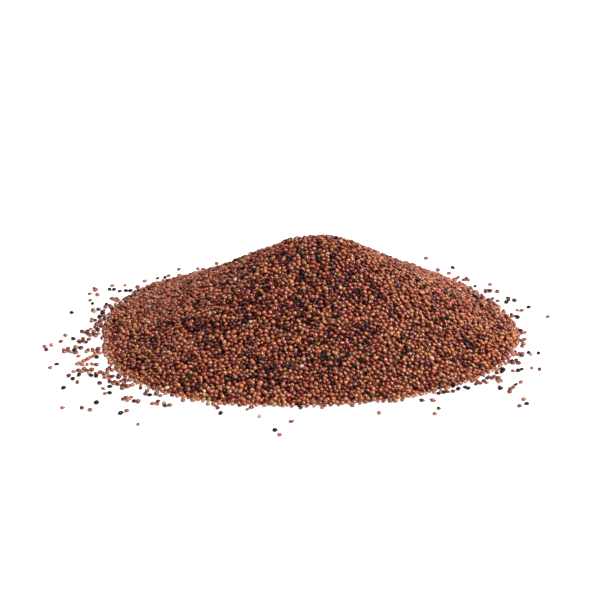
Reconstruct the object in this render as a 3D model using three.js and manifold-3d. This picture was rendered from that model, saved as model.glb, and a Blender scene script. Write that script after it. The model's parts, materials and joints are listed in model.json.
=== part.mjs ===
// A heap of kaniwa seeds on a table, as it was poured, with the loose seeds that rolled off it.
// Millimetres, +Z up. The origin is the middle of the heap's flat underside; the front faces -Y.
// Azimuths are in degrees, from +X towards +Y.
import * as THREE from "three";
import { ConvexHull } from "three/addons/math/ConvexHull.js";
import { mergeVertices } from "three/addons/utils/BufferGeometryUtils.js";
import Module from "manifold-3d";

const wasm = await Module();
wasm.setup();

// One seed is a thick round lens.
const SEED_WIDTH = 1.12;
const SEED_THICKNESS = 0.8;
const SEED_UNEVENNESS = 0.1; // share by which seeds differ in size

// The heap stands one seed high at its rim and rises to a rounded peak a little to the right.
const HEAP_RADIUS = 48;
const TOE_HEIGHT = 0.9;
const HEAP_RISE = 21.6;
const PEAK_SHIFT = 3;
const PEAK_ROUNDING = 0.15; // share of the radius over which the peak is round
const FLANK_SAG = 0.073; // share of the rise by which the lower flank hangs below a straight cone

// The rim swells and draws in: how many swells, how far, and where one of them is.
const RIM_WAVES = [
  { swells: 2, depth: 1.0, azimuth: 35 },
  { swells: 3, depth: 0.5, azimuth: -30 },
  { swells: 4, depth: 1.1, azimuth: -32 },
  { swells: 5, depth: 0.4, azimuth: 0 },
];

// Low humps and hollows on the flanks, where one pour ran over another.
const HUMPS = [
  { azimuth: 50, distance: 39, width: 4.5, lift: 0.65 },
  { azimuth: 125, distance: 8.5, width: 3.5, lift: 0.5 },
  { azimuth: 140, distance: 27, width: 5, lift: -0.5 },
  { azimuth: 146, distance: 46, width: 5, lift: 0.5 },
  { azimuth: -118, distance: 22, width: 7, lift: -0.4 },
  { azimuth: -80, distance: 34, width: 6, lift: 0.4 },
  { azimuth: -40, distance: 27, width: 7, lift: 0.35 },
  { azimuth: -155, distance: 36, width: 6, lift: -0.35 },
];

// Relief of the heap's skin: knobs of close-packed seeds with clefts between them.
const KNOBS = 1080;
const KNOB_RISE = 0.34;
const KNOB_JITTER = 0.6;
const CLEFT_DEPTH = 0.3;
const LOWEST_CLEFT = 0.4;
const RIM_POINTS = 126;
const RIM_RAGGEDNESS = 0.5;
const RIM_MARGIN = 1.1; // between the rim and the outermost knobs

// Single seeds at true size that stand out of the skin, and round the rim.
const SEEDS_ON_TOP = 46;
const SEED_STAND = 0.12; // from the skin up to the middle of a seed
const SEED_TIP = 0.35; // how far a seed leans, as a slope
const SEEDS_ON_RIM = 36;
const RIM_SEED_INSET = 0.1; // from the rim in to the middle of a seed
const RIM_SEED_LIFT = 0.12; // from the table up to the lowest point of a seed

// Loose seeds on the table, in drifts: azimuth and half width, nearest and furthest distance
// from the middle, and how many.
const DRIFTS = [
  { azimuth: -176, spread: 1, near: 55, far: 56, seeds: 1 },
  { azimuth: -173, spread: 1, near: 53.5, far: 60, seeds: 2 },
  { azimuth: -169, spread: 2, near: 58.5, far: 60.5, seeds: 3 },
  { azimuth: -167, spread: 1.5, near: 53, far: 56, seeds: 3 },
  { azimuth: -158, spread: 1.5, near: 58.5, far: 62, seeds: 2 },
  { azimuth: -152, spread: 3, near: 55, far: 60, seeds: 4 },
  { azimuth: -150, spread: 1.5, near: 54, far: 55.5, seeds: 2 },
  { azimuth: -145.5, spread: 1.5, near: 57, far: 65, seeds: 2 },
  { azimuth: -137.5, spread: 1, near: 70, far: 72, seeds: 1 },
  { azimuth: -134, spread: 1.5, near: 57, far: 68, seeds: 3 },
  { azimuth: -131, spread: 2, near: 56, far: 58, seeds: 2 },
  { azimuth: -129, spread: 1, near: 62, far: 64, seeds: 2 },
  { azimuth: -125, spread: 1.5, near: 54, far: 55.5, seeds: 2 },
  { azimuth: -123, spread: 1, near: 66, far: 68, seeds: 1 },
  { azimuth: -110, spread: 1, near: 53.5, far: 54.5, seeds: 1 },
  { azimuth: -99, spread: 2.5, near: 51, far: 60, seeds: 1 },
  { azimuth: -96, spread: 1, near: 59, far: 62, seeds: 2 },
  { azimuth: -93, spread: 1, near: 54, far: 55.5, seeds: 1 },
  { azimuth: -72, spread: 2, near: 50.5, far: 52.5, seeds: 1 },
  { azimuth: -61, spread: 2, near: 51, far: 57, seeds: 2 },
  { azimuth: -44, spread: 2.5, near: 61.5, far: 64.5, seeds: 3 },
  { azimuth: -40, spread: 1.5, near: 54, far: 57, seeds: 2 },
  { azimuth: -36, spread: 1, near: 55.5, far: 56.5, seeds: 1 },
  { azimuth: -27, spread: 1, near: 52.5, far: 57, seeds: 2 },
  { azimuth: -17, spread: 1.5, near: 52, far: 55, seeds: 2 },
  { azimuth: 9, spread: 1, near: 56, far: 57, seeds: 1 },
  { azimuth: 16, spread: 2, near: 52.5, far: 55.5, seeds: 1 },
  { azimuth: 23, spread: 2, near: 52, far: 54, seeds: 1 },
  { azimuth: 32, spread: 3, near: 53, far: 55.5, seeds: 1 },
  { azimuth: 50, spread: 4, near: 54, far: 58, seeds: 1 },
  { azimuth: 60, spread: 2, near: 58, far: 61, seeds: 1 },
  { azimuth: 147, spread: 3, near: 54, far: 57.5, seeds: 2 },
  { azimuth: 154, spread: 3, near: 56, far: 60, seeds: 2 },
  { azimuth: 168, spread: 4, near: 55, far: 58, seeds: 1 },
];
const STRAY_SPACING = 1.6; // least distance between two loose seeds

const GOLDEN_ANGLE = Math.PI * (3 - Math.sqrt(5));
const UP = new THREE.Vector3(0, 0, 1);
const radians = THREE.MathUtils.degToRad;
const random = THREE.MathUtils.seededRandom;
random(20261); // one fixed draw, the same on every run
const swing = (reach) => reach * (2 * random() - 1);

// Distance from the middle to the rim.
function rimRadius(angle) {
  let radius = HEAP_RADIUS;
  for (const wave of RIM_WAVES) {
    radius += wave.depth * Math.cos(wave.swells * (angle - radians(wave.azimuth)));
  }
  return radius;
}

// Height of the heap above the table.
function heapHeight(x, y) {
  const towardsPeak = 1 - Math.hypot(x, y) / rimRadius(Math.atan2(y, x));
  const u = x - PEAK_SHIFT * towardsPeak;
  const share = Math.min(1, Math.hypot(u, y) / rimRadius(Math.atan2(y, u)));
  const round = (s) => Math.hypot(s, PEAK_ROUNDING) - PEAK_ROUNDING;
  const cone = 1 - round(share) / round(1);
  const sag = FLANK_SAG * share * Math.sin(Math.PI * share);
  let height = TOE_HEIGHT + HEAP_RISE * (cone - sag);
  for (const hump of HUMPS) {
    const humpX = hump.distance * Math.cos(radians(hump.azimuth));
    const humpY = hump.distance * Math.sin(radians(hump.azimuth));
    height += hump.lift * Math.exp(-((Math.hypot(x - humpX, y - humpY) / hump.width) ** 2));
  }
  return height;
}

// Upward normal of the heap's surface.
function heapNormal(x, y) {
  const step = 0.5;
  return new THREE.Vector3(
    heapHeight(x - step, y) - heapHeight(x + step, y),
    heapHeight(x, y - step) - heapHeight(x, y + step),
    2 * step,
  ).normalize();
}

// Places spread evenly over the unit disc, in a sunflower spiral.
function spiral(count, index) {
  return [Math.sqrt((index + 0.5) / count), index * GOLDEN_ANGLE];
}

// Delaunay triangles of points in a plane: the underside of the hull of the points lifted to a bowl.
function delaunay(points) {
  const lifted = points.map(([x, y]) => new THREE.Vector3(x, y, x * x + y * y));
  const order = new Map(lifted.map((point, index) => [point, index]));
  const hull = new ConvexHull().setFromPoints(lifted);
  const downward = hull.faces.filter((face) => face.normal.z < -1e-6);
  return downward.map((face) =>
    [2, 1, 0].map((corner) => order.get(face.getEdge(corner).head().point)),
  );
}

// The heap's skin of knobs and clefts, closed by a short wall at the rim and a flat underside.
function heapCore() {
  const disc = [];
  for (let i = 0; i < RIM_POINTS; i++) {
    const angle = (2 * Math.PI * i) / RIM_POINTS;
    disc.push([Math.cos(angle), Math.sin(angle)]);
  }
  const inner = 1 - RIM_MARGIN / HEAP_RADIUS;
  const jitter = KNOB_JITTER / HEAP_RADIUS;
  for (let i = 0; i < KNOBS; i++) {
    const [distance, angle] = spiral(KNOBS, i);
    disc.push([
      inner * distance * Math.cos(angle) + swing(jitter),
      inner * distance * Math.sin(angle) + swing(jitter),
    ]);
  }

  // First the rim points and knob tops, then the clefts, one amid each three of them.
  const positions = disc.map(([x, y], index) => {
    const radius = rimRadius(Math.atan2(y, x));
    if (index < RIM_POINTS) {
      const reach = radius + swing(RIM_RAGGEDNESS);
      return [x * reach, y * reach, TOE_HEIGHT * (0.8 + 0.3 * random())];
    }
    const rise = KNOB_RISE * (0.6 + 0.8 * random());
    return [x * radius, y * radius, heapHeight(x * radius, y * radius) + rise];
  });
  const cleftLeftOf = new Map(); // by directed edge
  for (const corners of delaunay(disc)) {
    const [a, b, c] = corners.map((corner) => positions[corner]);
    const x = (a[0] + b[0] + c[0]) / 3;
    const y = (a[1] + b[1] + c[1]) / 3;
    corners.forEach((from, i) => {
      cleftLeftOf.set(from + ">" + corners[(i + 1) % 3], positions.length);
    });
    positions.push([x, y, Math.max(LOWEST_CLEFT, heapHeight(x, y) - CLEFT_DEPTH)]);
  }
  const faces = [];
  for (const [edge, cleft] of cleftLeftOf) {
    const [from, to] = edge.split(">").map(Number);
    const cleftBeyond = cleftLeftOf.get(to + ">" + from);
    faces.push(cleftBeyond === undefined ? [from, to, cleft] : [from, cleftBeyond, cleft]);
  }

  const firstUnder = positions.length;
  const outline = [];
  for (let i = 0; i < RIM_POINTS; i++) {
    const next = (i + 1) % RIM_POINTS;
    const [x, y] = positions[i];
    positions.push([x, y, 0]);
    outline.push(new THREE.Vector2(x, y));
    faces.push([i, firstUnder + i, firstUnder + next], [i, firstUnder + next, next]);
  }
  for (const corners of THREE.ShapeUtils.triangulateShape(outline, [])) {
    faces.push(corners.map((corner) => firstUnder + corner).reverse());
  }
  return new THREE.BufferGeometry()
    .setAttribute("position", new THREE.Float32BufferAttribute(positions.flat(), 3))
    .setIndex(faces.flat());
}

// A seed with few sides, lying flat about its own middle.
function seedGeometry(size) {
  const seed = new THREE.IcosahedronGeometry(1, 0);
  seed.computeBoundingBox();
  const half = seed.boundingBox.max;
  const width = (size * SEED_WIDTH) / 2;
  const thickness = (size * SEED_THICKNESS) / 2;
  return seed.scale(width / half.x, width / half.y, thickness / half.z);
}

// A seed that lies along a surface, leaning a little.
function laidSeed(place, normal, tip) {
  const lean = normal.clone().add(new THREE.Vector3(swing(tip), swing(tip), 0)).normalize();
  const turn = new THREE.Quaternion()
    .setFromUnitVectors(UP, lean)
    .multiply(new THREE.Quaternion().setFromAxisAngle(UP, swing(Math.PI)));
  const matrix = new THREE.Matrix4().compose(place, turn, new THREE.Vector3(1, 1, 1));
  return seedGeometry(1 + swing(SEED_UNEVENNESS)).applyMatrix4(matrix);
}

function toSolid(geometry) {
  const bare = geometry.clone();
  bare.deleteAttribute("normal");
  bare.deleteAttribute("uv");
  const merged = mergeVertices(bare);
  return new wasm.Manifold(
    new wasm.Mesh({
      numProp: 3,
      vertProperties: merged.attributes.position.array,
      triVerts: new Uint32Array(merged.index.array),
    }),
  );
}

function fromSolid(solid) {
  const mesh = solid.getMesh();
  return new THREE.BufferGeometry()
    .setAttribute("position", new THREE.BufferAttribute(mesh.vertProperties, 3))
    .setIndex(new THREE.BufferAttribute(mesh.triVerts, 1));
}

// The core and the seeds that stand out of it, joined into one body.
function heapGeometry() {
  let heap = toSolid(heapCore());
  for (let i = 0; i < SEEDS_ON_TOP; i++) {
    const [distance, angle] = spiral(SEEDS_ON_TOP, i);
    const reach = 0.95 * distance * rimRadius(angle);
    const [x, y] = [reach * Math.cos(angle), reach * Math.sin(angle)];
    const normal = heapNormal(x, y);
    const place = new THREE.Vector3(x, y, heapHeight(x, y)).addScaledVector(normal, SEED_STAND);
    heap = heap.add(toSolid(laidSeed(place, normal, SEED_TIP)));
  }
  for (let i = 0; i < SEEDS_ON_RIM; i++) {
    const angle = (2 * Math.PI * (i + 0.5 + swing(0.35))) / SEEDS_ON_RIM;
    const reach = rimRadius(angle) - RIM_SEED_INSET * (1 + swing(1.5));
    const middle = SEED_THICKNESS / 2 + RIM_SEED_LIFT;
    const place = new THREE.Vector3(reach * Math.cos(angle), reach * Math.sin(angle), middle);
    heap = heap.add(toSolid(laidSeed(place, UP, 0.1)));
  }
  return fromSolid(heap);
}

// Places of the loose seeds, drawn drift by drift and kept clear of each other.
function strayPlaces() {
  const places = [];
  for (const drift of DRIFTS) {
    const until = places.length + drift.seeds;
    while (places.length < until) {
      const angle = radians(drift.azimuth + swing(drift.spread));
      const reach = drift.near + (drift.far - drift.near) * random();
      const place = new THREE.Vector2(reach * Math.cos(angle), reach * Math.sin(angle));
      if (places.every((other) => other.distanceTo(place) > STRAY_SPACING)) places.push(place);
    }
  }
  return places;
}

function coat(color, roughness) {
  return new THREE.MeshStandardMaterial({ color, roughness, metalness: 0 });
}

const coats = {
  russet: coat(0x8a4a36, 0.5),
  copper: coat(0xb0653f, 0.5),
  chestnut: coat(0x6a3a2c, 0.5),
  plum: coat(0x4a2226, 0.45),
  black: coat(0x1f1a1c, 0.4),
  tan: coat(0x9a7a55, 0.6),
  cream: coat(0xd9c4a0, 0.6),
};

// Coats of the loose seeds, in turn.
const strayCoats = [
  ...["russet", "black", "chestnut", "copper", "plum", "russet", "black", "tan"],
  ...["chestnut", "russet", "black", "copper", "plum", "russet", "black", "cream"],
];

const pour = new THREE.Group();
const heap = new THREE.Mesh(heapGeometry(), coats.russet);
heap.name = "heap";
pour.add(heap);

strayPlaces().forEach((place, index) => {
  const size = 1 + swing(SEED_UNEVENNESS);
  const stray = new THREE.Mesh(seedGeometry(size), coats[strayCoats[index % strayCoats.length]]);
  stray.name = "stray_" + String(index + 1).padStart(2, "0");
  stray.position.set(place.x, place.y, (size * SEED_THICKNESS) / 2);
  stray.rotation.z = swing(Math.PI);
  pour.add(stray);
});

export default pour;
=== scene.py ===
import json
import math
import random

import bmesh
import bpy
import numpy as np
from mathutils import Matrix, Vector


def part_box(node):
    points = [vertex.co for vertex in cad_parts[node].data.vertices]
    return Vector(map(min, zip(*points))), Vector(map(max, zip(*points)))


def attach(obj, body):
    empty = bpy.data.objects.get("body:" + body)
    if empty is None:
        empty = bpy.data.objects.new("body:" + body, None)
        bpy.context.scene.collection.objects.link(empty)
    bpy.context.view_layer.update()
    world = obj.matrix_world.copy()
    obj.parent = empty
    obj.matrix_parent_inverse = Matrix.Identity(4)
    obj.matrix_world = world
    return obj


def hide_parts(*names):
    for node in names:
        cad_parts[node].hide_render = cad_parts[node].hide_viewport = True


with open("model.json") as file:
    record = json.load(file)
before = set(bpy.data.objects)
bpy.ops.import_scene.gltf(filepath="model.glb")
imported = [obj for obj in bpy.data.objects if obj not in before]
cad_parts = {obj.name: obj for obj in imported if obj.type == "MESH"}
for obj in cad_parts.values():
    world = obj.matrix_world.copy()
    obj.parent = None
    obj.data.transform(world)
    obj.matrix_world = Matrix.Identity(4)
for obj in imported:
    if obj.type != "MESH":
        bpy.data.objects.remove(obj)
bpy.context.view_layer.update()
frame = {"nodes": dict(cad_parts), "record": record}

mm = 0.001

# A heap of kaniwa seeds, poured on a table. Azimuths are in degrees, from +X towards +Y, and
# distances are from the heap's middle.
heapForm = {
    "radius": 48 * mm,
    "toe": 0.9 * mm,            # height at the rim, one seed
    "rise": 21.6 * mm,
    "peakShift": 3 * mm,
    "peakRounding": 0.15,
    "flankSag": 0.073,          # hollow of the slopes, to the rise
    "rimWaves": [               # swells round the rim, depth, azimuth of one
        (2, 1.0 * mm, 35), (3, 0.5 * mm, -30), (4, 1.1 * mm, -32), (5, 0.4 * mm, 0),
    ],
    "humps": [                  # azimuth, distance, width, lift
        (50, 39 * mm, 4.5 * mm, 0.65 * mm), (125, 8.5 * mm, 3.5 * mm, 0.5 * mm),
        (140, 27 * mm, 5 * mm, -0.5 * mm), (146, 46 * mm, 5 * mm, 0.5 * mm),
        (-118, 22 * mm, 7 * mm, -0.4 * mm), (-80, 34 * mm, 6 * mm, 0.4 * mm),
        (-40, 27 * mm, 7 * mm, 0.35 * mm), (-155, 36 * mm, 6 * mm, -0.35 * mm),
    ],
}


def rimRadius(angle):
    radius = np.full_like(angle, heapForm["radius"])
    for swells, depth, azimuth in heapForm["rimWaves"]:
        radius += depth * np.cos(swells * (angle - math.radians(azimuth)))
    return radius


def heapHeight(x, y):
    towardsPeak = 1 - np.hypot(x, y) / rimRadius(np.arctan2(y, x))
    u = x - heapForm["peakShift"] * towardsPeak
    share = np.minimum(1, np.hypot(u, y) / rimRadius(np.arctan2(y, u)))
    rounding = heapForm["peakRounding"]
    rounded = np.hypot(share, rounding) - rounding
    cone = 1 - rounded / (math.hypot(1, rounding) - rounding)
    sag = heapForm["flankSag"] * share * np.sin(np.pi * share)
    height = heapForm["toe"] + heapForm["rise"] * (cone - sag)
    for azimuth, distance, humpWidth, lift in heapForm["humps"]:
        away = np.hypot(x - distance * math.cos(math.radians(azimuth)),
                        y - distance * math.sin(math.radians(azimuth)))
        height = height + lift * np.exp(-(away / humpWidth) ** 2)
    return np.where(towardsPeak > 0, height, 0)


# One seed: a thick round lens with a soft rim, no two alike.
seed = {
    "width": 1.12 * mm,
    "thickness": 0.8 * mm,
    "sizeSpread": 0.16,
    "ovalSpread": 0.09,
    "thicknessSpread": 0.18,
    "sides": 8,
    "rings": 5,
    "shapes": [                 # plumpness, dimple, beak
        (1.0, 0.0, 0.0), (0.82, 0.14, 0.05), (0.9, 0.05, 0.16),
        (0.7, 0.1, 0.1), (0.95, 0.2, 0.0), (0.8, 0.0, 0.2),
    ],
    "beakFrom": 0.85,           # where the beak starts, of the half width
    "beakNarrowing": 1.5,
    "unevenness": 0.08,
    "edgePower": 3,             # how close to its rim a seed shows wear
    "slack": 0.94,              # of the room it has, so that gaps stay between the seeds
    "draw": 3,
}


def lensSeed(plumpness, dimple, beak, draw):
    # a round seed of half width 1 and half thickness 1, with a small beak towards +X
    form = bmesh.new()
    bmesh.ops.create_uvsphere(form, u_segments=seed["sides"], v_segments=seed["rings"], radius=1)
    reach = max(vert.co.x for vert in form.verts)
    bmesh.ops.scale(form, vec=(1 / reach, 1 / reach, 1), verts=form.verts)
    for vert in form.verts:
        across = math.hypot(vert.co.x, vert.co.y)
        vert.co.z *= 1 - dimple * (1 - across) ** 2
        vert.co.z *= plumpness + (1 - plumpness) * (1 - across ** 2)
        vert.co *= 1 + draw.uniform(-1, 1) * seed["unevenness"]
    tip = [vert for vert in form.verts if vert.co.x > seed["beakFrom"]]
    bmesh.ops.translate(form, vec=(beak, 0, 0), verts=tip)
    bmesh.ops.scale(form, vec=(1, 1 - seed["beakNarrowing"] * beak, 1 - beak), verts=tip)
    bmesh.ops.recalc_face_normals(form, faces=form.faces)
    form.verts.index_update()
    points = np.array([vert.co[:] for vert in form.verts])
    faces = [[vert.index for vert in face.verts] for face in form.faces]
    form.free()
    return points, faces


shapeDraw = random.Random(seed["draw"])
seedShapes = [lensSeed(*shape, shapeDraw) for shape in seed["shapes"]]
seedFaces = seedShapes[0][1]


# How the seeds are packed over the core.
packing = {
    "coreDepth": 1.75 * mm,     # from the heap's surface down to the core
    "tries": 60000,
    "pastRim": 1.8 * mm,        # how far past the heap's radius seeds are dropped
    "rollSteps": 8,
    "firstRoll": 0.5,           # length of the first step, in radii of the seed
    "rollCut": 0.5,             # what is left of a step after one that leads upwards
    "flatness": 0.78,           # height of the room a seed takes, to its width
    "proud": (-0.4 * mm, 0.3 * mm),     # how far past the surface a seed may stand
    "pitch": 0.25 * mm,         # of the height tables
    "cell": 1.35 * mm,          # a little over the widest seed
    "reach": 52 * mm,
    "draw": 5,
}


class Pile:
    # seeds are packed as balls in a space stretched upwards, where each lens is round
    def __init__(self):
        self.reach = packing["reach"]
        self.steps = int(2 * self.reach / packing["pitch"]) + 1
        axis = np.linspace(-self.reach, self.reach, self.steps)
        x, y = np.meshgrid(axis, axis, indexing="ij")
        surface = heapHeight(x, y)
        self.surface = surface.tolist()
        self.core = (np.maximum(0, surface - packing["coreDepth"]) / packing["flatness"]).tolist()
        self.cellsAcross = int(2 * self.reach / packing["cell"]) + 3
        self.cells = [[] for _ in range(self.cellsAcross ** 2)]
        self.balls = []

    def look(self, table, x, y):
        scale = (self.steps - 1) / (2 * self.reach)
        return table[int((x + self.reach) * scale)][int((y + self.reach) * scale)]

    def cellOf(self, x, y):
        cell = packing["cell"]
        return int((x + self.reach) / cell) + 1, int((y + self.reach) / cell) + 1

    def restHeight(self, x, y, radius):
        height = self.look(self.core, x, y) + radius
        support = None
        row, column = self.cellOf(x, y)
        for a in (row - 1, row, row + 1):
            for b in (column - 1, column, column + 1):
                for ball in self.cells[a * self.cellsAcross + b]:
                    dx = x - ball[0]
                    dy = y - ball[1]
                    clear = (radius + ball[3]) ** 2 - dx * dx - dy * dy
                    if clear > 0:
                        top = ball[2] + math.sqrt(clear)
                        if top > height:
                            height = top
                            support = ball
        return height, support

    def roll(self, x, y, radius):
        # a seed rolls off whatever holds it until it sits between its neighbours
        height, support = self.restHeight(x, y, radius)
        step = packing["firstRoll"] * radius
        for _ in range(packing["rollSteps"]):
            if support is None:
                break
            dx = x - support[0]
            dy = y - support[1]
            away = math.hypot(dx, dy) or radius
            newX = x + dx / away * step
            newY = y + dy / away * step
            if math.hypot(newX, newY) > self.reach - radius:
                break
            newHeight, newSupport = self.restHeight(newX, newY, radius)
            if newHeight < height:
                x, y, height, support = newX, newY, newHeight, newSupport
            else:
                step *= packing["rollCut"]
        return x, y, height

    def keep(self, x, y, height, radius):
        row, column = self.cellOf(x, y)
        ball = (x, y, height, radius)
        self.cells[row * self.cellsAcross + column].append(ball)
        self.balls.append(ball)


def pourHeap():
    draw = random.Random(packing["draw"])
    pile = Pile()
    for _ in range(packing["tries"]):
        angle = draw.uniform(-math.pi, math.pi)
        distance = (heapForm["radius"] + packing["pastRim"]) * math.sqrt(draw.random())
        x = distance * math.cos(angle)
        y = distance * math.sin(angle)
        if pile.look(pile.surface, x, y) <= 0:
            continue
        radius = seed["width"] / 2 * (1 + draw.uniform(-1, 1) * seed["sizeSpread"])
        x, y, height = pile.roll(x, y, radius)
        top = (height + radius) * packing["flatness"]
        if top <= pile.look(pile.surface, x, y) + draw.uniform(*packing["proud"]):
            pile.keep(x, y, height, radius)
    return pile


pile = pourHeap()
print("heap poured:", len(pile.balls), "seeds")


class Shade:
    # a shader socket that adds, subtracts and multiplies like a number
    def __init__(self, tree, socket=None):
        self.tree = tree
        self.socket = socket

    def node(self, kind, settings=None, inputs=None, output=0):
        made = self.tree.nodes.new(kind)
        for name, value in (settings or {}).items():
            if name == "stops":
                elements = made.color_ramp.elements
                while len(elements) < len(value):
                    elements.new(0.5)
                for element, (position, colour) in zip(elements, value):
                    element.position = position
                    element.color = (*colour, 1)
            else:
                setattr(made, name, value)
        for name, value in (inputs or {}).items():
            if isinstance(value, Shade):
                self.tree.links.new(value.socket, made.inputs[name])
            else:
                made.inputs[name].default_value = value
        return Shade(self.tree, made.outputs[output] if made.outputs else None)

    def maths(self, operation, first, second):
        return self.node("ShaderNodeMath", {"operation": operation}, {0: first, 1: second})

    def __add__(self, other):
        return self.maths("ADD", self, other)

    def __sub__(self, other):
        return self.maths("SUBTRACT", self, other)

    def __rsub__(self, other):
        return self.maths("SUBTRACT", other, self)

    def __mul__(self, other):
        return self.maths("MULTIPLY", self, other)

    __radd__ = __add__
    __rmul__ = __mul__

    def blend(self, first, second):
        ends = {0: self, 6: first, 7: second}
        return self.node("ShaderNodeMix", {"data_type": "RGBA"}, ends, output=2)

    def times(self, first, second, amount):
        # one colour times another, by an amount of 0 to 1
        settings = {"data_type": "RGBA", "blend_type": "MULTIPLY"}
        ends = {0: amount, 6: first, 7: second}
        return self.node("ShaderNodeMix", settings, ends, output=2)

    def clipped(self, low, high):
        limits = {"Value": self, "From Min": low, "From Max": high}
        return self.node("ShaderNodeMapRange", {"clamp": True}, limits)


def newMaterial(name):
    material = bpy.data.materials.new(name)
    material.use_nodes = True
    material.node_tree.nodes.clear()
    return material, Shade(material.node_tree)


def finishMaterial(shade, inputs):
    surface = shade.node("ShaderNodeBsdfPrincipled", None, inputs)
    shade.node("ShaderNodeOutputMaterial", None, {"Surface": surface})


# Seed coats: their share of the heap, their gloss, how much the hue draws change them, and the two
# ends of their tint in linear colour.
coats = {
    "copper": {
        "share": 0.24, "gloss": 0.72, "hues": 1.0,
        "dark": (0.212, 0.0525, 0.0138), "light": (0.395, 0.1365, 0.0442),
    },
    "russet": {
        "share": 0.29, "gloss": 0.72, "hues": 1.0,
        "dark": (0.153, 0.0268, 0.0086), "light": (0.296, 0.0812, 0.0294),
    },
    "chestnut": {
        "share": 0.19, "gloss": 0.57, "hues": 1.0,
        "dark": (0.095, 0.0127, 0.005), "light": (0.2, 0.0395, 0.0168),
    },
    "plum": {
        "share": 0.165, "gloss": 0.36, "hues": 1.0,
        "dark": (0.045, 0.0074, 0.0068), "light": (0.104, 0.0193, 0.0183),
    },
    "black": {
        "share": 0.078, "gloss": 0.18, "hues": 1.0,
        "dark": (0.0048, 0.0021, 0.0025), "light": (0.017, 0.0065, 0.0077),
    },
    "tan": {
        "share": 0.035, "gloss": 0.6, "hues": 0.5,
        "dark": (0.165, 0.064, 0.022), "light": (0.3, 0.145, 0.057),
    },
    "cream": {
        "share": 0.003, "gloss": 0.5, "hues": 0.2,
        "dark": (0.32, 0.22, 0.13), "light": (0.48, 0.38, 0.27),
    },
}
coatFinish = {
    "tint": 0.8,                # how far the tint and the mottle take a coat to its light end
    "mottle": 0.9,
    "lift": 0.1,                # added to both
    "wear": 0.3,                # lightness of a seed's worn edge
    "mottleScale": 2600.0,
    "grainScale": 9000.0,
    "noiseRoughness": 0.6,
    "redder": (1.0, 0.53, 0.53),    # what the two ends of the hue draw do to a coat
    "yellower": (0.95, 1.06, 1.0),
    "warmer": (1.0, 1.05, 0.63),    # and those of a second draw
    "cooler": (1.0, 0.93, 1.4),
    "secondDraw": 37.0,         # the fraction of this many times the first is the second
    "roughness": 0.25,
    "roughnessSpread": 0.3,
    "bump": 0.25,
    "bumpDepth": 0.03 * mm,
}


def coatNoise(shade, place, scale, detail):
    return shade.node("ShaderNodeTexNoise", None, {
        "Vector": place, "Scale": scale, "Detail": detail,
        "Roughness": coatFinish["noiseRoughness"],
    })


def coatMaterial(name, coat):
    finish = coatFinish
    material, shade = newMaterial(name + "Coat")
    place = shade.node("ShaderNodeTexCoord", output=3)
    tint = shade.node("ShaderNodeAttribute", {"attribute_name": "seedTint"}, output=2)
    edge = shade.node("ShaderNodeAttribute", {"attribute_name": "seedEdge"}, output=2)
    mottle = coatNoise(shade, place, finish["mottleScale"], 3.0)
    grain = coatNoise(shade, place, finish["grainScale"], 2.0)
    hue = shade.node("ShaderNodeAttribute", {"attribute_name": "seedHue"}, output=2)
    share = tint * finish["tint"] + (mottle - 0.5) * finish["mottle"] + finish["lift"]
    colour = share.clipped(0.0, 1.0).blend((*coat["dark"], 1), (*coat["light"], 1))
    worn = (edge * finish["wear"] * mottle).blend(colour, (*coat["light"], 1))
    tone = hue.blend((*finish["redder"], 1), (*finish["yellower"], 1))
    secondDraw = shade.maths("FRACT", hue * finish["secondDraw"], 0.0)
    secondTone = secondDraw.blend((*finish["warmer"], 1), (*finish["cooler"], 1))
    toned = shade.times(shade.times(worn, tone, coat["hues"]), secondTone, coat["hues"])
    relief = shade.node("ShaderNodeBump", None, {
        "Strength": finish["bump"], "Distance": finish["bumpDepth"], "Height": grain + mottle})
    finishMaterial(shade, {
        "Base Color": toned,
        "Roughness": finish["roughness"] + (grain - 0.5) * finish["roughnessSpread"],
        "Specular IOR Level": coat["gloss"],
        "Normal": relief,
    })
    return material


# Core: what lies under the seeds, with a flat underside, coloured with painted shade.
core = {
    "fineness": 6,
    "inset": 1.6 * mm,          # from the heap's rim
    "relief": 0.12 * mm,
    "ripples": (0.31 * mm, 0.27 * mm),  # along x and y
    "thinnest": 0.05 * mm,
    "rimShare": 0.999,          # past this share of the reach the core is closed
    "lumpScale": 950.0,         # one lump to about a seed
    "lumpShadeColours": [            # painted shade, from the middle of a lump to the gap beside it
        (0.0, (0.12, 0.014, 0.005)), (0.45, (0.05, 0.005, 0.002)), (0.8, (0.009, 0.001, 0.0004)),
    ],
    "lumpDepth": 0.4 * mm,
    "roughness": 0.6,
}


def coreMaterial():
    material, shade = newMaterial("packedSeedsInPaintedShade")
    place = shade.node("ShaderNodeTexCoord", output=3)
    lumps = shade.node("ShaderNodeTexVoronoi", {"feature": "F1"},
                       {"Vector": place, "Scale": core["lumpScale"]})
    # painted shade: the lumps are dark and the gaps between them darker, for the shade among the
    # lower seeds
    colour = shade.node("ShaderNodeValToRGB", {"stops": core["lumpShadeColours"]}, {"Fac": lumps})
    relief = shade.node("ShaderNodeBump", {"invert": True},
                        {"Strength": 1.0, "Distance": core["lumpDepth"], "Height": lumps})
    finishMaterial(shade, {
        "Base Color": colour, "Roughness": core["roughness"], "Normal": relief})
    return material


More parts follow.
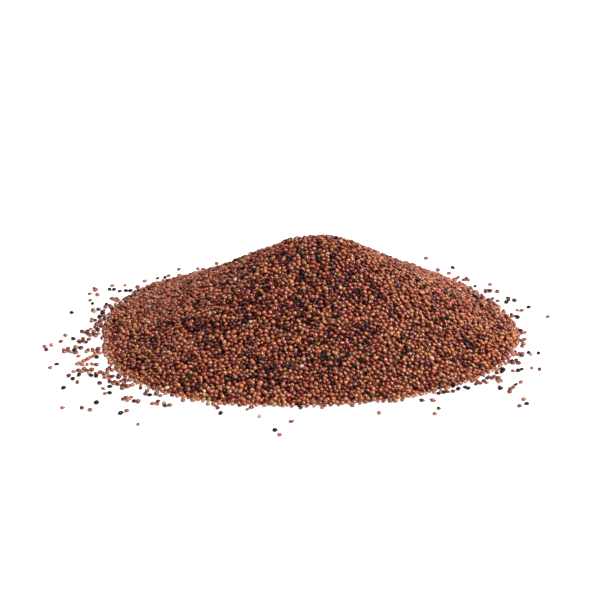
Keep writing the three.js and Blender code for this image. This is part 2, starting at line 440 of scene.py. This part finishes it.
def makeCore():
    form = bmesh.new()
    bmesh.ops.create_icosphere(form, subdivisions=core["fineness"], radius=1)
    points = np.array([vert.co[:] for vert in form.verts])
    angle = np.arctan2(points[:, 1], points[:, 0])
    share = np.sqrt(1 - np.abs(points[:, 2]))       # spreads the ball's skin evenly over a disc
    distance = share * (rimRadius(angle) - core["inset"])
    x = distance * np.cos(angle)
    y = distance * np.sin(angle)
    rippleX, rippleY = core["ripples"]
    lumps = core["relief"] * (np.sin(x / rippleX) * np.sin(y / rippleY))
    top = np.maximum(core["thinnest"], heapHeight(x, y) - packing["coreDepth"] + lumps)
    z = np.where(points[:, 2] > 0, top, 0)
    z = np.where(share > core["rimShare"], 0, z)
    for vert, place in zip(form.verts, zip(x, y, z)):
        vert.co = place
    bmesh.ops.recalc_face_normals(form, faces=form.faces)
    mesh = bpy.data.meshes.new("core")
    form.to_mesh(mesh)
    form.free()
    mesh.shade_smooth()
    piece = bpy.data.objects.new("core", mesh)
    bpy.context.scene.collection.objects.link(piece)
    mesh.materials.append(coreMaterial())
    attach(piece, "root")
    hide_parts("heap")


makeCore()
print("core made")


# Loose seeds: those that the frame has, groups beside the rim, thin drifts along parts of it, and
# a curved string.
loose = {
    "groups": [                 # x, y and reach in mm, seeds, read off the photo
        (-49, 12.2, 1.2, 4), (-50.1, 6.1, 0.8, 3), (-47, 8.2, 0.9, 6), (-48.3, -2.5, 0.7, 4),
        (-48, 4.5, 1, 8), (-48, 1.4, 1, 9), (-47.2, -13.6, 0.7, 3), (-50.2, -1.2, 0.9, 6),
        (-49.3, -3.9, 0.7, 3), (-51.1, -7, 0.8, 6), (-53.2, -13.3, 1, 8), (-51.3, -12.1, 0.3, 1),
        (-49.4, -13.9, 0.5, 2), (-47.8, -13.3, 0.3, 1), (-51.1, -17, 0.3, 1),
        (-46.7, -21.9, 0.3, 1), (-49.9, -26.2, 0.5, 2), (-48.6, -25.6, 0.5, 2),
        (-50.3, -28.5, 0.3, 1), (-45, -27.4, 0.7, 4), (-44.3, -29.7, 0.5, 3),
        (-43.1, -29.1, 0.3, 1), (-41.5, -29.1, 0.5, 2), (-44.9, -33.2, 0.3, 1),
        (-44.1, -36.1, 0.3, 1), (-43.8, -39, 0.3, 1), (-41.7, -32.7, 0.9, 6), (-40, -35, 0.7, 4),
        (-43.6, -25, 0.7, 4), (-39.7, -31, 0.9, 6), (-38.3, -41.9, 0.9, 4),
        (-34.4, -39.6, 0.5, 2), (-32.6, -44.7, 0.7, 2), (-30.4, -45.8, 0.4, 2),
        (-19.6, -46.3, 0.4, 2), (-21.3, -45.2, 0.3, 1), (-12.2, -46.8, 0.3, 1),
        (-13, -48, 0.3, 1), (24, -43, 0.3, 1), (26.3, -43, 0.3, 1), (30.2, -37.9, 0.4, 2),
        (36.3, -33.2, 0.5, 3), (37.7, -32.1, 0.5, 2), (39.2, -30.3, 0.5, 2),
        (40.3, -29.7, 0.5, 3), (41.7, -31.5, 0.5, 3), (41.4, -35.6, 0.3, 1),
        (41.2, -25.7, 0.7, 4), (44.8, -20.1, 0.5, 3), (45.9, -20.1, 0.5, 3),
        (46.8, -15.4, 0.7, 4), (45.2, -25.6, 0.3, 1), (43.7, -36.1, 0.3, 1),
        (43.3, -38.4, 0.3, 1), (48.9, -1.2, 0.5, 3), (48.4, -9.5, 0.4, 2), (48.3, -7, 0.5, 3),
        (45.2, 19.8, 0.3, 1), (44.2, 21.2, 0.3, 1), (47.9, 20.5, 0.3, 1), (49.3, 19.8, 0.3, 1),
        (43.6, 26.2, 0.7, 4), (45.7, 26.2, 0.3, 1), (40.7, 29.8, 0.3, 1), (38.4, 34.9, 0.5, 3),
        (36, 35.6, 0.5, 2), (35, 39.3, 0.3, 1), (32.2, 41.6, 0.3, 1), (50.1, 12.9, 0.4, 2),
        (47.7, 8.8, 0.5, 3), (-44.1, 30.5, 0.3, 1), (-40.9, 29, 0.3, 1), (-50.8, 26.9, 0.3, 1),
        (-50.3, 23.3, 0.3, 1), (-46.3, 21.2, 0.5, 2), (-45, 19.8, 0.7, 4), (-51.5, 19.8, 0.3, 1),
        (-50.8, 17.7, 0.3, 1), (-47.4, 17, 0.4, 2), (-46.2, 15.6, 0.7, 4), (-34.8, 36.3, 0.3, 1),
    ],
    "darkGroups": [             # the same, of black seeds
        (-48.8, 4.1, 0.2, 1), (-48.4, -0.5, 0.2, 1), (-47, 6.8, 0.2, 1), (-47.9, 10.8, 0.2, 1),
        (-47, -17.7, 0.2, 1), (-47.2, -28.2, 0.7, 2), (-42.9, -35, 0.2, 1), (-42.6, -39, 0.2, 1),
        (-36.7, -43.5, 0.2, 1), (-36.4, -36, 0.3, 1), (28.8, -38, 0.5, 2), (32.2, -36.7, 0.2, 1),
        (34, -35.6, 0.6, 2), (42, -25, 0.8, 3), (46.4, -25, 0.8, 2), (45, -33.8, 0.2, 1),
        (49.5, -14.6, 0.2, 1), (47.3, 18.4, 0.2, 1), (48.8, 8.1, 0.2, 1), (-47.3, 27.6, 0.2, 1),
        (-45, 26.2, 0.2, 1), (-43, 26.5, 0.7, 2),
    ],
    "drifts": [                 # azimuth, spread, least and most in mm from the rim, tries
        (70, 12, 0.2, 4, 9), (95, 15, 0.2, 5, 12), (122, 12, 0.3, 6, 12), (140, 8, 0.3, 5, 7),
        (-126, 13, 0, 1.2, 34), (-88, 26, 0, 0.9, 40), (-52, 16, 0, 0.9, 26),
    ],
    "fall": 1.4,                # how fast a drift thins out away from the rim
    "string": [                 # x and y in mm along the string, of copper seeds
        (-45.5, -14.6), (-47.5, -15.4), (-48.9, -18.7), (-50, -20.3), (-51.6, -20.9),
        (-50.6, -22.2), (-49.4, -22.3), (-47.8, -21.6),
    ],
    "groupTries": 250,          # goes at laying a group, also once it is full
    "stringStep": 0.1 * mm,
    "jitter": 0.12 * mm,
    "crowding": 0.004,          # how fast a group spreads, in mm a try
    "shares": {
        "copper": 0.07, "russet": 0.22, "chestnut": 0.3, "plum": 0.2,
        "black": 0.08, "tan": 0.12, "cream": 0.01,
    },
    "tilt": 0.12,               # how far they lean on the table, by chance
    "darker": 0.6,              # how much less of the light end of a coat they show
    "onTable": 0.1 * mm,        # a seed with its middle below this lies on the table
    "draw": 11,
}


def looseSeeds():
    # x, y, radius, CAD node if there is one, and kind if it is known, of every loose seed
    draw = random.Random(loose["draw"])
    slots = {row["node"]: row["material_slot"] for row in frame["record"]["subparts"]}
    found = []
    for node in sorted(name for name in frame["nodes"] if name.startswith("stray_")):
        low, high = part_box(node)
        middle = (low + high) / 2
        radius = seed["width"] / 2 * (high.z - low.z) / seed["thickness"]
        found.append((middle.x, middle.y, radius, node, slots[node]))

    def layDown(x, y, kind=None):
        # lays a seed where there is room for it
        radius = seed["width"] / 2 * (1 + draw.uniform(-1, 1) * seed["sizeSpread"])
        clear = all(math.hypot(x - other[0], y - other[1]) > radius + other[2] for other in found)
        if clear and math.hypot(x, y) < packing["reach"] - 2 * radius:
            clear = pile.restHeight(x, y, radius)[1] is None
        if clear:
            found.append((x, y, radius, None, kind))
        return clear

    string = [(x * mm, y * mm) for x, y in loose["string"]]
    for start, end in zip(string, string[1:]):
        steps = max(1, round(math.dist(start, end) / loose["stringStep"]))
        for step in range(steps):
            along = step / steps
            x = start[0] + along * (end[0] - start[0])
            y = start[1] + along * (end[1] - start[1])
            layDown(x + draw.uniform(-1, 1) * loose["jitter"],
                    y + draw.uniform(-1, 1) * loose["jitter"], "copper")
    for groups, kind in ((loose["darkGroups"], "black"), (loose["groups"], None)):
        for x, y, reach, seeds in groups:
            for _ in range(loose["groupTries"]):
                angle = draw.uniform(-math.pi, math.pi)
                distance = reach * math.sqrt(draw.random()) * mm
                placeX = x * mm + distance * math.cos(angle)
                placeY = y * mm + distance * math.sin(angle)
                if seeds and layDown(placeX, placeY, kind):
                    seeds -= 1
                reach += loose["crowding"]
    for azimuth, spread, nearest, farthest, tries in loose["drifts"]:
        for _ in range(tries):
            angle = math.radians(azimuth + draw.uniform(-1, 1) * spread)
            beyond = nearest + (farthest - nearest) * draw.random() ** loose["fall"]
            distance = float(rimRadius(np.array([angle]))[0]) + beyond * mm
            layDown(distance * math.cos(angle), distance * math.sin(angle))
    return found


strays = looseSeeds()
print("loose seeds laid:", len(strays))


# How the seeds lie, along the surface under them and leaning by chance, and which kind lies where.
lying = {
    "lean": 0.8,                # how far they lean off the surface, as a slope
    "slopeStep": 0.5 * mm,      # over which the slope under a seed is taken
    "steepest": 0.6,            # slope that a seed follows
    "clearance": 0.01 * mm,     # over the table
    "draw": 23,
    "rest": 0.55,               # dark seeds away from the patches, to their share in coats
    "darkAndShadedFlank": (-94, 18, 17 * mm, 0.75),  # more dark seeds on the front flank, partly painted shade: azimuth, distance in mm, width and weight
    "bounceLitRimWidth": 8 * mm,         # of the front rim that is lit by painted bounce light from the table
    "bounceLitRimFewerDark": 0.7,        # share of its dark seeds that are missing
    "bounceLitRimMoreWarm": 1.5,         # how many more bright seeds it has, to one elsewhere
    "bounceLitRimFade": (0.2, 0.8),      # how bright it is at the sides, and where it is at its brightest
    "palePair": (-118, 46.4),   # azimuth and distance in mm of two pale seeds side by side
    "paleLift": 0.5 * mm,       # of their place over the surface
    "seenPatches": [            # azimuth, distance in mm of dark patches, measured on the photo
        (-143, 31), (-27, 39), (-74, 14), (-40, 19), (-124, 23), (-130, 29), (-51, 14), (-79, 27),
        (-155, 44), (-101, 40), (-30, 31), (-96, 17), (-108, 37), (-63, 28), (-81, 35), (-58, 43),
        (-119, 9), (-36, 43), (-113, 47), (-156, 40), (-84, 19), (-57, 19), (-108, 41), (-78, 37),
        (-66, 43), (-147, 47), (-102, 33), (-123, 46), (-6, 24),
    ],
    "hiddenPatches": (26, 5, 165),  # more of them at the back: number, from and to an azimuth
    "warmPatches": (60, -180, 180),     # the same, of bright seeds, all round
    "patchWidth": 2.1 * mm,
    "patchWeight": 2.9,
    "warmWeight": 1.6,
    "darkKinds": ("black", "plum"),
    "warmKinds": ("copper", "tan"),
}


def drawPatches(rng, count, start, end):
    distance = heapForm["radius"] / mm * np.sqrt(rng.random(count))
    return list(zip(rng.uniform(start, end, count), distance))


def nearPatches(x, y, patches, width):
    # 1 at the middle of a patch, falling to nothing away from all of them
    azimuth, distance = np.array(patches).T
    azimuth = np.radians(azimuth)
    distance = distance * mm
    away = np.hypot(x[:, None] - distance * np.cos(azimuth),
                    y[:, None] - distance * np.sin(azimuth))
    return np.exp(-(away.min(axis=1) / width) ** 2)


def heapLean(x, y, rng):
    # how far each seed of the heap leans along x and y: with the slope, and by chance
    step = lying["slopeStep"]
    slopeX = (heapHeight(x + step, y) - heapHeight(x - step, y)) / (2 * step)
    slopeY = (heapHeight(x, y + step) - heapHeight(x, y - step)) / (2 * step)
    steepest = lying["steepest"]
    slope = np.clip(np.stack([-slopeX, -slopeY], axis=1), -steepest, steepest)
    return slope + rng.normal(0, lying["lean"], slope.shape)


def heapKinds(middle, names, rng):
    # kind of each seed of the heap, as a number: dark and bright ones gather in patches, the front
    # rim has painted bounce light, and the front flank has more dark seeds, partly painted shade
    x, y = middle[:, 0], middle[:, 1]
    shares = np.array([coats[name]["share"] for name in names])
    weights = np.repeat(shares[None, :], len(x), axis=0)
    darkPatches = lying["seenPatches"] + drawPatches(rng, *lying["hiddenPatches"])
    dark = lying["patchWeight"] * nearPatches(x, y, darkPatches, lying["patchWidth"])
    # the front flank gets more dark seeds: partly the darker seeds there, partly painted shade
    # where the flank facing the camera is darkest
    azimuth, distance, flankWidth, flankWeight = lying["darkAndShadedFlank"]
    dark += flankWeight * nearPatches(x, y, [(azimuth, distance)], flankWidth)
    warm = nearPatches(x, y, drawPatches(rng, *lying["warmPatches"]), lying["patchWidth"])
    # painted bounce light: the front rim gets fewer dark seeds and more bright ones, for the light
    # the table throws up on it
    inward = rimRadius(np.arctan2(y, x)) - np.hypot(x, y)
    bounceLitRim = np.clip(1 - inward / lying["bounceLitRimWidth"], 0, 1)
    atSides, fade = lying["bounceLitRimFade"]
    bounceLitRim *= np.clip(atSides - y / (fade * np.hypot(x, y)), 0, 1)
    darker = (lying["rest"] + dark) * (1 - lying["bounceLitRimFewerDark"] * bounceLitRim)
    warmer = 1 + lying["warmWeight"] * warm + lying["bounceLitRimMoreWarm"] * bounceLitRim
    for name in lying["darkKinds"]:
        weights[:, names.index(name)] *= darker
    for name in lying["warmKinds"]:
        weights[:, names.index(name)] *= warmer
    chance = np.cumsum(weights / weights.sum(axis=1, keepdims=True), axis=1)
    kinds = np.minimum((chance < rng.random((len(x), 1))).sum(axis=1), len(names) - 1)
    azimuth, distance = math.radians(lying["palePair"][0]), lying["palePair"][1] * mm
    place = np.array([distance * math.cos(azimuth), distance * math.sin(azimuth)])
    place = np.append(place, heapHeight(*place) + lying["paleLift"])
    kinds[np.argsort(np.linalg.norm(middle - place, axis=1))[:2]] = names.index("cream")
    return kinds


def strayKinds(names, rng):
    # kind of each loose seed, as a number: its own where it is known, and else by chance
    known = np.array([names.index(stray[4]) if stray[4] else -1 for stray in strays])
    shares = np.array([loose["shares"][name] for name in names])
    drawn = rng.choice(len(names), size=len(strays), p=shares / shares.sum())
    return np.where(known < 0, drawn, known)


def seedFrames():
    # middle, lean, radius and kind of every seed, in arrays
    rng = np.random.default_rng(lying["draw"])
    names = list(coats)
    balls = np.array(pile.balls)
    x, y, radius = balls[:, 0], balls[:, 1], balls[:, 3]
    middle = np.stack([x, y, balls[:, 2] * packing["flatness"]], axis=1)
    lean = heapLean(x, y, rng)
    kinds = np.concatenate([heapKinds(middle, names, rng), strayKinds(names, rng)])
    strayMiddle = np.array([(stray[0], stray[1], 0) for stray in strays])
    strayLean = rng.normal(0, loose["tilt"], (len(strays), 2))
    radius = np.concatenate([radius * seed["slack"], [stray[2] for stray in strays]])
    return (np.concatenate([middle, strayMiddle]), np.concatenate([lean, strayLean]),
            radius, kinds, rng)


def joinSeeds(name, middle, lean, radius, rng):
    # one mesh of many seeds, each turned, stretched and tinted by its own draw
    count = len(radius)
    shapes = np.array([points for points, _ in seedShapes])
    local = shapes[rng.integers(0, len(shapes), count)]
    spin = rng.uniform(-np.pi, np.pi, count)
    normal = np.concatenate([lean, np.ones((count, 1))], axis=1)
    normal /= np.linalg.norm(normal, axis=1, keepdims=True)
    side = np.stack([np.cos(spin), np.sin(spin), np.zeros(count)], axis=1)
    side -= normal * np.sum(side * normal, axis=1, keepdims=True)
    side /= np.linalg.norm(side, axis=1, keepdims=True)
    third = np.cross(normal, side)
    oval = 1 + rng.normal(0, seed["ovalSpread"], count)
    thick = 1 + rng.uniform(-1, 1, count) * seed["thicknessSpread"]
    thick *= seed["thickness"] / seed["width"]
    points = (middle[:, None, :]
              + local[:, :, 0:1] * (side * (radius * oval)[:, None])[:, None, :]
              + local[:, :, 1:2] * (third * (radius / oval)[:, None])[:, None, :]
              + local[:, :, 2:3] * (normal * (radius * thick)[:, None])[:, None, :])
    lowest = points[:, :, 2].min(axis=1)
    onTable = middle[:, 2] < loose["onTable"]
    points[:, :, 2] += np.where(onTable | (lowest < 0), lying["clearance"] - lowest, 0)[:, None]
    perSeed = local.shape[1]
    sizes = np.array([len(face) for face in seedFaces])
    corners = np.concatenate(seedFaces)
    cornersOf = (np.arange(count) * perSeed)[:, None] + corners[None, :]
    starts = np.concatenate([[0], np.cumsum(sizes)[:-1]])
    startsOf = (np.arange(count) * len(corners))[:, None] + starts[None, :]
    mesh = bpy.data.meshes.new(name)
    mesh.vertices.add(count * perSeed)
    mesh.vertices.foreach_set("co", points.astype(np.float32).ravel())
    mesh.loops.add(count * len(corners))
    mesh.loops.foreach_set("vertex_index", cornersOf.astype(np.int32).ravel())
    mesh.polygons.add(count * len(sizes))
    mesh.polygons.foreach_set("loop_start", startsOf.astype(np.int32).ravel())
    mesh.update(calc_edges=True)
    mesh.shade_smooth()
    tint = np.repeat(rng.uniform(0, 1, count) * (1 - loose["darker"] * onTable), perSeed)
    hue = np.repeat(rng.uniform(0, 1, count), perSeed)
    edge = np.hypot(local[:, :, 0], local[:, :, 1]).ravel() ** seed["edgePower"]
    for layer, values in (("seedTint", tint), ("seedHue", hue), ("seedEdge", edge)):
        attribute = mesh.attributes.new(layer, "FLOAT", "POINT")
        attribute.data.foreach_set("value", values.astype(np.float32))
    piece = bpy.data.objects.new(name, mesh)
    bpy.context.scene.collection.objects.link(piece)
    return piece


def makeSeeds():
    middle, lean, radius, kinds, rng = seedFrames()
    for index, (kind, coat) in enumerate(coats.items()):
        mine = kinds == index
        piece = joinSeeds(kind + "Seeds", middle[mine], lean[mine], radius[mine], rng)
        piece.data.materials.append(coatMaterial(kind, coat))
        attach(piece, "root")
        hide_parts(*[stray[3] for stray in strays if stray[3] and stray[4] == kind])
        print(piece.name, int(mine.sum()), "seeds", len(piece.data.polygons), "faces")


makeSeeds()


# Stage: a pale table top, soft light from above, and the camera.
stageSettings = {
    "tableSize": 4.0,
    "tableSides": 96,
    "tableColour": (0.75, 0.75, 0.75),
    "tableRoughness": 0.6,
    "tableHaze": 0.1,           # how far the roughness varies
    "hazeScale": 40.0,
    "tableGloss": 0.2,
    "tableGlow": 0.5,           # a lit table, so that hardly a shadow falls on it
    "skyLow": 0.028,            # light of the sky at the horizon and straight up
    "skyHigh": 0.1,
    "lamps": {                  # place, size, power
        "rightLamp": ((1.4, -0.75, 1.55), 0.9, 93.0),
        "leftLamp": ((-1.8, -0.2, 1.2), 0.7, 10.0),
        "overheadLamp": ((0.0, 0.3, 2.2), 0.7, 23.0),
    },
}


def makeTable():
    form = bmesh.new()
    bmesh.ops.create_circle(form, cap_ends=True, segments=stageSettings["tableSides"],
                            radius=stageSettings["tableSize"] / 2)
    mesh = bpy.data.meshes.new("table")
    form.to_mesh(mesh)
    form.free()
    table = bpy.data.objects.new("table", mesh)
    bpy.context.scene.collection.objects.link(table)
    material, shade = newMaterial("paleTable")
    place = shade.node("ShaderNodeTexCoord", output=3)
    haze = shade.node("ShaderNodeTexNoise", None,
                      {"Vector": place, "Scale": stageSettings["hazeScale"], "Detail": 2.0})
    finishMaterial(shade, {
        "Base Color": (*stageSettings["tableColour"], 1),
        "Roughness": stageSettings["tableRoughness"] + haze * stageSettings["tableHaze"],
        "Specular IOR Level": stageSettings["tableGloss"],
        "Emission Color": (1, 1, 1, 1),
        "Emission Strength": stageSettings["tableGlow"],
    })
    mesh.materials.append(material)


def makeLight():
    world = bpy.data.worlds.new("studio")
    world.use_nodes = True
    world.node_tree.nodes.clear()
    shade = Shade(world.node_tree)
    direction = shade.node("ShaderNodeTexCoord", output=0)
    height = shade.node("ShaderNodeSeparateXYZ", None, {0: direction}, output=2)
    glow = height.clipped(0.0, 1.0) * (stageSettings["skyHigh"] - stageSettings["skyLow"])
    sky = shade.node("ShaderNodeBackground", None,
                     {"Color": (1, 1, 1, 1), "Strength": glow + stageSettings["skyLow"]})
    shade.node("ShaderNodeOutputWorld", None, {"Surface": sky})
    bpy.context.scene.world = world
    for name, (place, size, power) in stageSettings["lamps"].items():
        lamp = bpy.data.lights.new(name, "AREA")
        lamp.energy = power
        lamp.size = size
        holder = bpy.data.objects.new(name, lamp)
        holder.location = place
        holder.rotation_euler = (-Vector(place)).to_track_quat("-Z", "Y").to_euler()
        bpy.context.scene.collection.objects.link(holder)


cameraSettings = {
    "elevation": 19.83,
    "distance": 550 * mm,
    "lens": 143.55,
    "sensor": 36,
    "nearest": 0.01,
    "aside": -1.8 * mm,
    "raised": 7.09 * mm,
}


def makeCamera():
    tilt = math.radians(cameraSettings["elevation"])
    back = Vector((0, -math.cos(tilt), math.sin(tilt)))
    upwards = Vector((0, math.sin(tilt), math.cos(tilt)))
    camera = bpy.data.cameras.new("camera")
    camera.lens = cameraSettings["lens"]
    camera.sensor_width = cameraSettings["sensor"]
    camera.clip_start = cameraSettings["nearest"]
    holder = bpy.data.objects.new("camera", camera)
    holder.location = (back * cameraSettings["distance"] + upwards * cameraSettings["raised"]
                       + Vector((cameraSettings["aside"], 0, 0)))
    holder.rotation_euler = (math.pi / 2 - tilt, 0, 0)
    bpy.context.scene.collection.objects.link(holder)
    bpy.context.scene.camera = holder
    bpy.context.scene.view_settings.view_transform = "Standard"


makeTable()
makeLight()
makeCamera()
print("table, light and camera placed")
